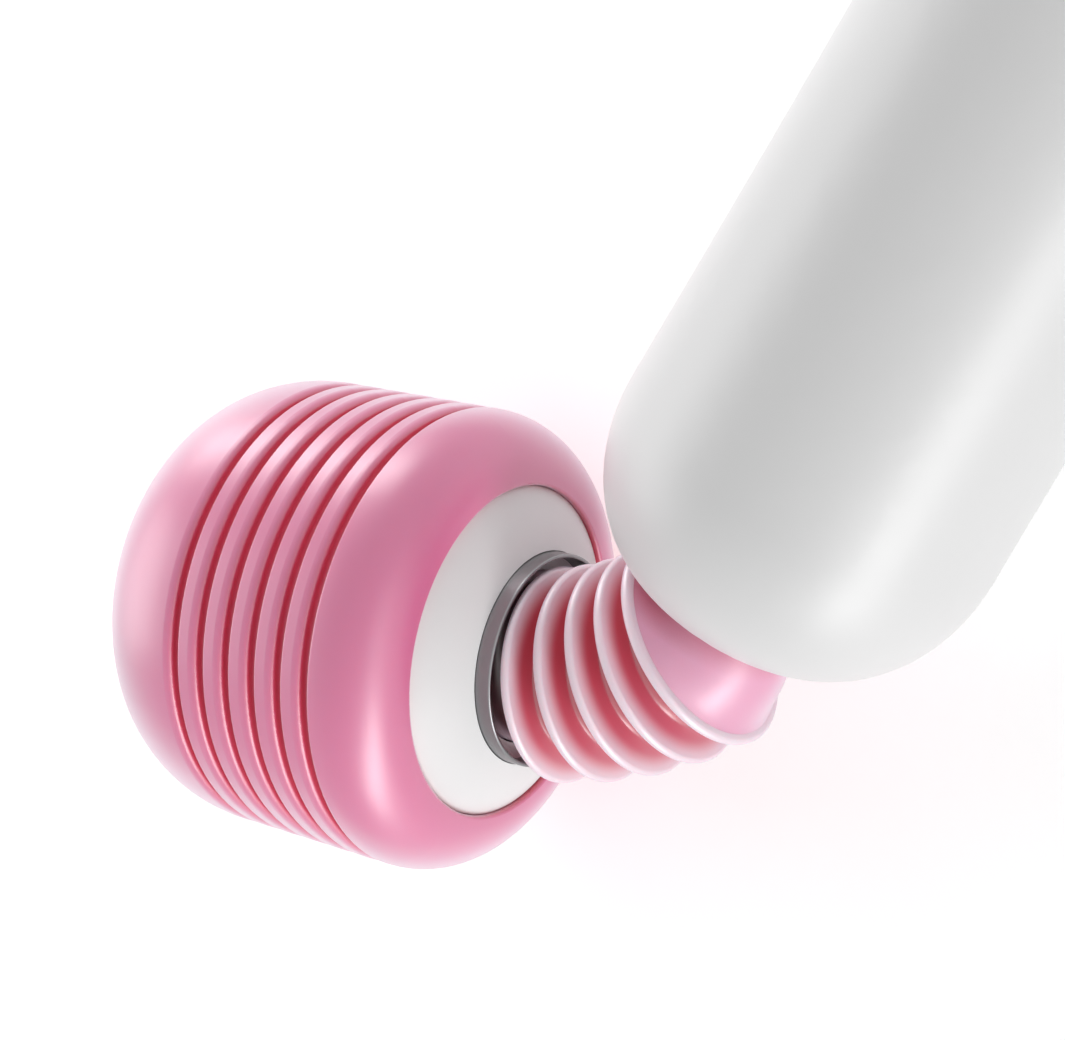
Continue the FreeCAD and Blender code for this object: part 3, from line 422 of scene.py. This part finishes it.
# The stem is painted dark maroon: painted shade on the same rubber, deep in the ring.
painted_shade_stem = silicone("stem_silicone_painted_shade", "8a2c44", "3c0e18", sheen=0.2)
finishes = {
    "pink_silicone": pink,
    "button_silicone": pink,
    # The stem's slot gets the stem's painted shade.
    "dark_silicone": painted_shade_stem,
    # Solid flexible rubber: black with a trace of red, and dull.
    "core_rubber": moulded("black_core_rubber", "2a1618", 0.7),
    # Moulded in a polished tool and lacquered satin: broad soft highlights and no visible texture.
    "white_gloss_plastic": moulded(
        "satin_white_abs", "e8e8e8", 0.45, grain_mm=6.0, depth=0.03, coat=0.7, mottle=0.01),
    # Moulded satin and left bare: flat and even, with a fine texture.
    "collar_plastic": moulded("satin_grey_abs", "f2f2f2", 0.45, grain_mm=0.4),
    # Plated and brushed fine: a soft mirror that is dark where the room is dark.
    "ring_metal": moulded("satin_nickel_ring", "8e8e90", 0.32, metallic=1.0),
    # Frosted on its face, so that the light behind spreads: milky, with no clear highlight.
    "light_guide": moulded("frosted_clear_acrylic", "e8e8e4", 0.5),
    # Glass fibres at the surface: charcoal, rough and slightly speckled.
    "inner_plastic": moulded("black_glass_filled_nylon", "2a2a2c", 0.6, grain_mm=0.6, depth=0.2),
    # Moulded rubber mounts: black and almost without gloss.
    "mount_rubber": moulded("black_nitrile_rubber", "1d1d1d", 0.75),
    # Drawn and zinc plated: bright blue-grey with softened reflections.
    "motor_steel": moulded("zinc_plated_steel", "b8bcc0", 0.35, metallic=1.0),
    # Ground: the clearest mirror of the metals here.
    "shaft_steel": moulded("ground_steel", "cbccce", 0.2, metallic=1.0),
    # Plated like the can, over a cold-headed surface: a shade darker.
    "screw_steel": moulded("zinc_plated_screws", "a9abae", 0.35, metallic=1.0),
    # Undyed nylon: warm ivory, half matt.
    "bell_plastic": moulded("ivory_nylon", "c6c4b4", 0.5),
    # Pressed and fired powder: dark grey and grainy.
    "magnet_ferrite": moulded("pressed_ferrite", "36363a", 0.55, grain_mm=0.2, depth=0.3),
    # Sintered and full of oil: brown gold, open-grained, with dull reflections.
    "bush_bronze": moulded("sintered_bronze", "b08a4e", 0.5, metallic=1.0, grain_mm=0.15, depth=0.3),
    # Freshly turned: warm and bright.
    "copper": moulded("turned_copper", "d08a62", 0.25, metallic=1.0),
    # Sintered heavy metal: mid grey with a fine grain.
    "weight_metal": moulded("sintered_tungsten", "8c8c8e", 0.45, metallic=1.0, grain_mm=0.2),
    # Printed lacquer over copper: deep green with a smooth gloss.
    "board_laminate": moulded("green_solder_mask", "1c6b3c", 0.35),
    # Moulded chip bodies and sockets: black, half matt.
    "part_black": moulded("black_moulding_epoxy", "1f1f20", 0.5),
    # Cast clear: the glossiest piece inside.
    "light_epoxy": moulded("clear_epoxy_lens", "e9e9e6", 0.15),
    # Film shrunk on with heat: blue, smooth and tight.
    "cell_wrap": moulded("blue_shrink_film", "2f5f9a", 0.3),
    # Rolled strip: warm silver.
    "nickel_tab": moulded("nickel_strip", "c4c2bb", 0.3, metallic=1.0),
    # Closed-cell foam: black, matt and coarse.
    "foam": moulded("black_closed_cell_foam", "262626", 0.9, grain_mm=0.5, depth=0.6),
    # Moulded connector body: black with a light gloss.
    "socket_plastic": moulded("black_socket_nylon", "1b1b1c", 0.45),
}


def dressed(mesh, material):
    """Gives a carried-over mesh its only material."""
    mesh.materials.clear()
    mesh.materials.append(material)


for entry in frame["record"]["subparts"]:
    dressed(nodes[entry["node"]].data, finishes[entry["material_slot"]])
for k in RIBS:
    dressed(nodes["neck_rib_%d" % k].data, rib_silicone(k))
# The folds wear painted shade.
for piece in folds:
    piece.data.materials.append(painted_shade_fold_pink)
# The skirt wears painted light.
skirt.data.materials.append(painted_lit_pink)
# The root ring wears the stem's painted shade.
root.data.materials.append(painted_shade_stem)


# ---- floor, light and camera ----
def seen(tree):
    """1 for rays from the eye, straight or by way of a shiny or clear surface."""
    path = add(tree, "ShaderNodeLightPath")
    total = path.outputs["Is Camera Ray"]
    for ray in ("Is Glossy Ray", "Is Transmission Ray"):
        total = add(tree, "ShaderNodeMath", {0: total, 1: path.outputs[ray]}, operation="ADD").outputs[0]
    return total


WHITE = (1, 1, 1, 1)
PAPER = (0.9, 0.9, 0.9, 1.0)
FLOOR_HALF = 3.0

# The eye sees the paper brighter than it is lit: by the inner amount up to the near distance in metres, by
# the outer one from the far distance on, and by something in between from the one to the other.
FILL_NEAR = 0.15
FILL_FAR = 1.2
FILL_INNER = 0.47
FILL_OUTER = 0.7


def floor():
    """White paper, lit a little more evenly towards its edges so that it runs into the white room."""
    bm = bmesh.new()
    bmesh.ops.create_grid(bm, x_segments=1, y_segments=1, size=FLOOR_HALF)
    piece = made_mesh("floor", bm)
    material, tree = blank("white_paper_floor")
    coord = add(tree, "ShaderNodeTexCoord").outputs["Object"]
    fill = add(tree, "ShaderNodeMapRange", {
        "Value": add(tree, "ShaderNodeVectorMath", {0: coord}, operation="LENGTH").outputs["Value"],
        "From Min": FILL_NEAR,
        "From Max": FILL_FAR,
        "To Min": FILL_INNER,
        "To Max": FILL_OUTER,
    }, interpolation_type="SMOOTHSTEP")
    white = add(tree, "ShaderNodeBsdfDiffuse", {"Color": PAPER})
    glow = add(tree, "ShaderNodeEmission", {"Color": WHITE, "Strength": fill.outputs[0]})
    lit = add(tree, "ShaderNodeAddShader", {0: white.outputs[0], 1: glow.outputs[0]})
    both = add(tree, "ShaderNodeMixShader", {0: seen(tree), 1: white.outputs[0], 2: lit.outputs[0]})
    add(tree, "ShaderNodeOutputMaterial", {"Surface": both.outputs[0]})
    piece.data.materials.append(material)


ROOM_LIGHT = 0.38
ROOM_SEEN = 1.0


def sky():
    """White room, which the eye sees as white and which lights the wand more weakly."""
    world = bpy.data.worlds.new("white_room")
    bpy.context.scene.world = world
    world.use_nodes = True
    tree = world.node_tree
    tree.nodes.clear()
    level = add(tree, "ShaderNodeMapRange", {"Value": seen(tree), "To Min": ROOM_LIGHT, "To Max": ROOM_SEEN})
    back = add(tree, "ShaderNodeBackground", {"Color": WHITE, "Strength": level.outputs[0]})
    add(tree, "ShaderNodeOutputWorld", {"Surface": back.outputs[0]})


LAMP_DISTANCE = 0.8
LAMP_AIM = Vector((-60 * MM, 0, 25 * MM))  # the neck

# Each lamp's way out from the neck, its width and height in metres, and its power in watts.
LAMPS = {
    "far_softbox": ((0.50, 0.866, 0.14), (0.8, 0.2), 2.9),
    "low_softbox": ((-0.35, -0.93, 0.13), (0.6, 0.2), 3.0),
    "near_softbox": ((0.35, -0.90, 0.25), (0.5, 0.3), 0.5),
    "side_softbox": ((-0.38, 0.72, 0.58), (0.6, 0.45), 2.0),
}


def softbox(name, way_out, size, power):
    """Oblong soft light that faces the neck from a direction given out of it."""
    data = bpy.data.lights.new(name, "AREA")
    data.shape = "RECTANGLE"
    data.size, data.size_y = size
    data.energy = power
    lamp = bpy.data.objects.new(name, data)
    bpy.context.scene.collection.objects.link(lamp)
    out = Vector(way_out).normalized()
    lamp.location = LAMP_AIM + out * LAMP_DISTANCE
    lamp.rotation_mode = "QUATERNION"
    lamp.rotation_quaternion = out.to_track_quat("Z", "Y")


EYE_PLACE = Vector((46.17, -142.3, 231.92))  # millimetres
EYE_RIGHT = Vector((0.4075, -0.6013, -0.6873))
EYE_AHEAD = Vector((-0.4565, 0.5176, -0.7236))
LENS_MM = 76.16
SENSOR_MM = 36.0
NEAREST = 0.01


def eye():
    """Camera above the handle's near side, which looks down at the neck."""
    right = EYE_RIGHT.normalized()
    back = -EYE_AHEAD.normalized()
    up = back.cross(right).normalized()
    right = up.cross(back)
    data = bpy.data.cameras.new("eye")
    data.lens = LENS_MM
    data.sensor_width = SENSOR_MM
    data.clip_start = NEAREST
    camera = bpy.data.objects.new("eye", data)
    bpy.context.scene.collection.objects.link(camera)
    turn = Matrix((right, up, back)).transposed().to_4x4()
    camera.matrix_world = Matrix.Translation(EYE_PLACE * MM) @ turn
    bpy.context.scene.camera = camera


floor()
sky()
for name, (way_out, size, power) in LAMPS.items():
    softbox(name, way_out, size, power)
eye()
bpy.context.scene.view_settings.view_transform = "Standard"
